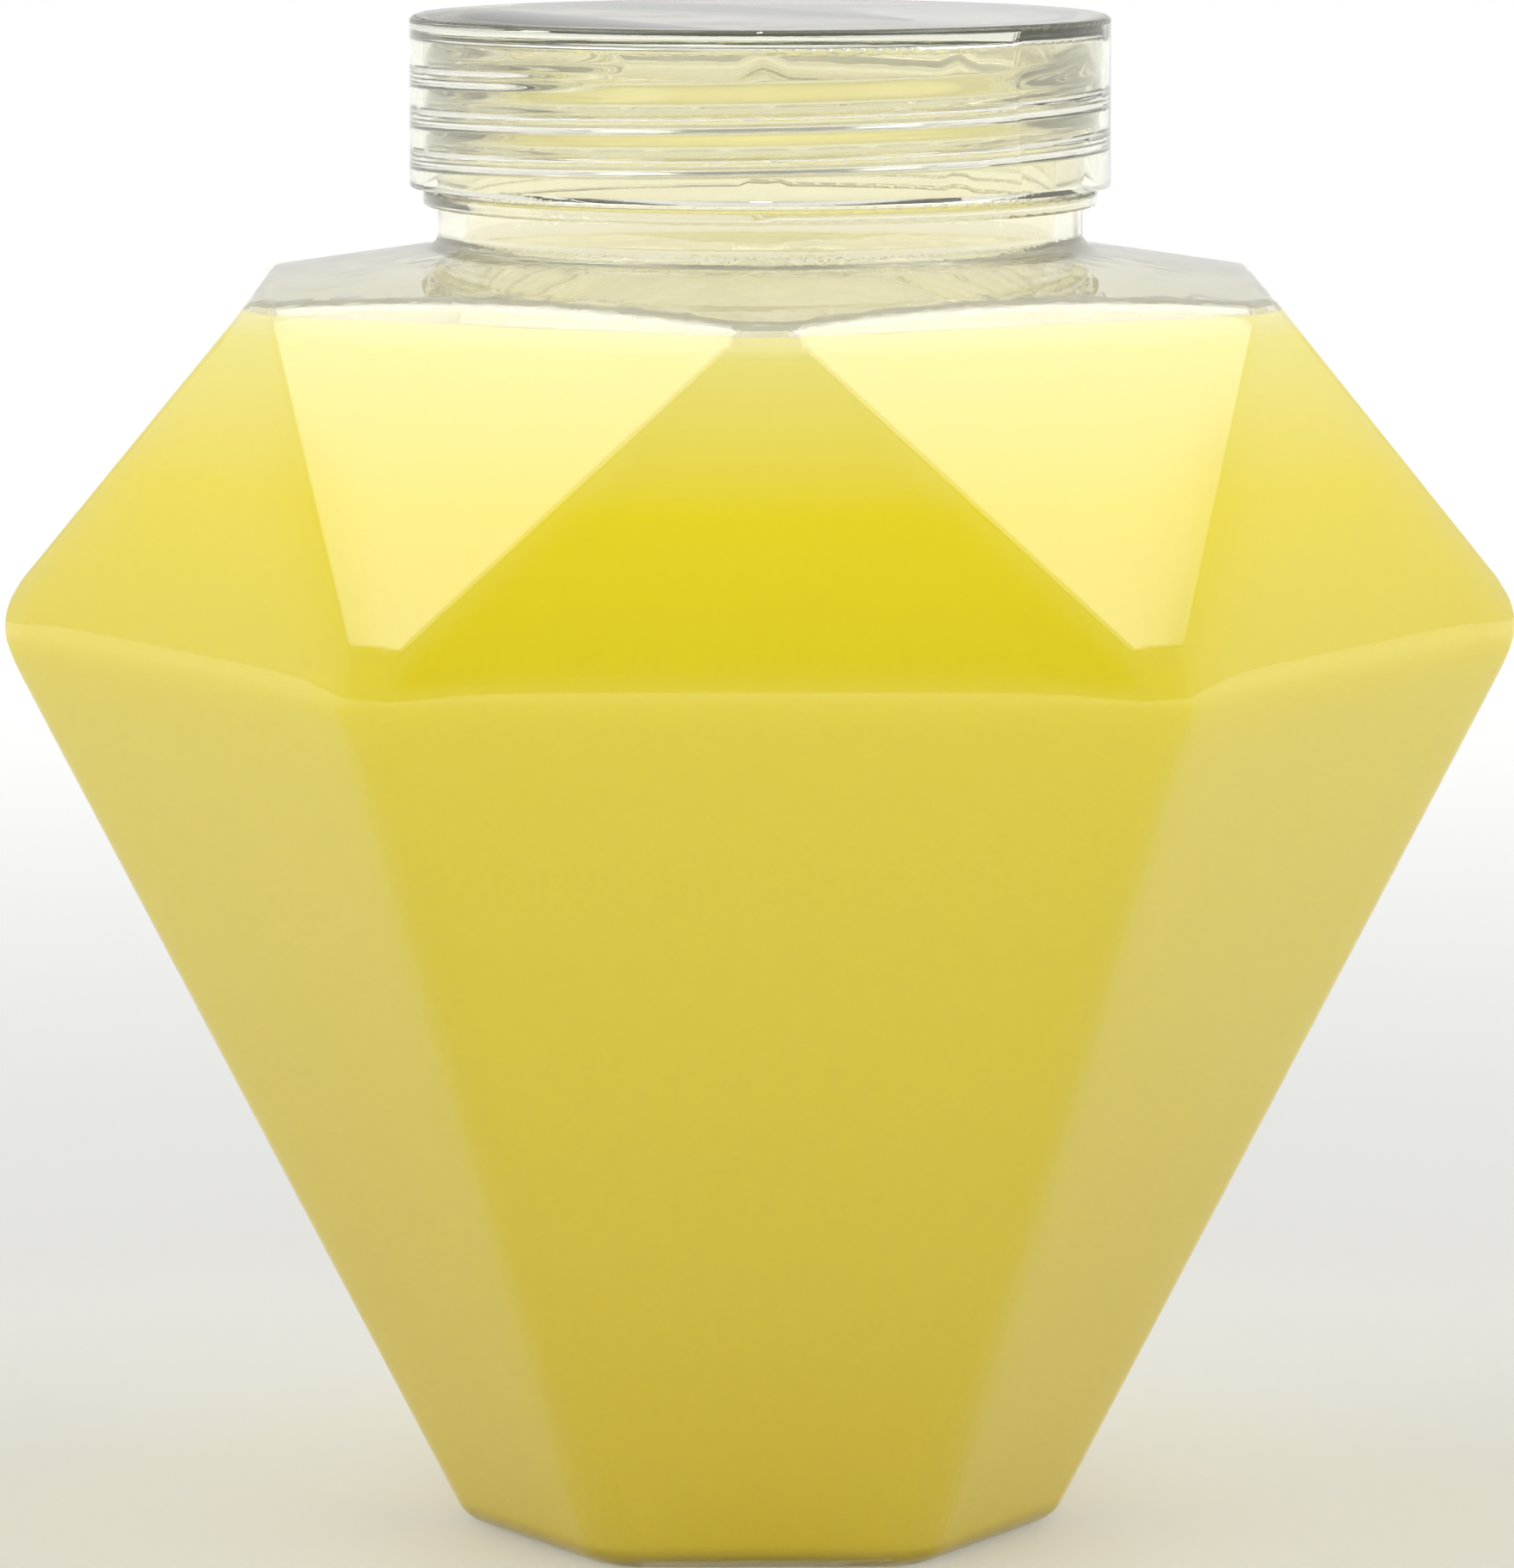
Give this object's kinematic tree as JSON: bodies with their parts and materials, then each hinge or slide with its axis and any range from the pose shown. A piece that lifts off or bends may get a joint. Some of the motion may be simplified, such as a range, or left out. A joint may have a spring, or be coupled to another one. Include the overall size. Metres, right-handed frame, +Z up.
{
  "type": "diamond-shaped drink bottle",
  "caption": "Clear faceted bottle shaped like a cut gem on a small foot, filled with a yellow drink and closed by a clear screw cap that lifts off its wide neck.",
  "frame": {"origin": "middle of the foot, on the surface that the bottle stands on", "axes": "+Z up along the bottle's axis, -Y out of the side that the picture shows from the front, corners of the widest hexagon on +X and -X"},
  "size_m": [0.1036, 0.0916, 0.1045],
  "materials": {
    "bottle": "gloss",
    "drink": "satin",
    "cap": "gloss"
  },
  "bodies": {
    "bottle": {"bottle": "bottle", "drink": "drink"},
    "cap": {"cap": "cap"}
  },
  "joints": [
    {"name": "cap_lift", "type": "slide", "parent": "bottle", "child": "cap", "axis": [0, 0, 1], "range_m": [0, 0.025]}
  ]
}
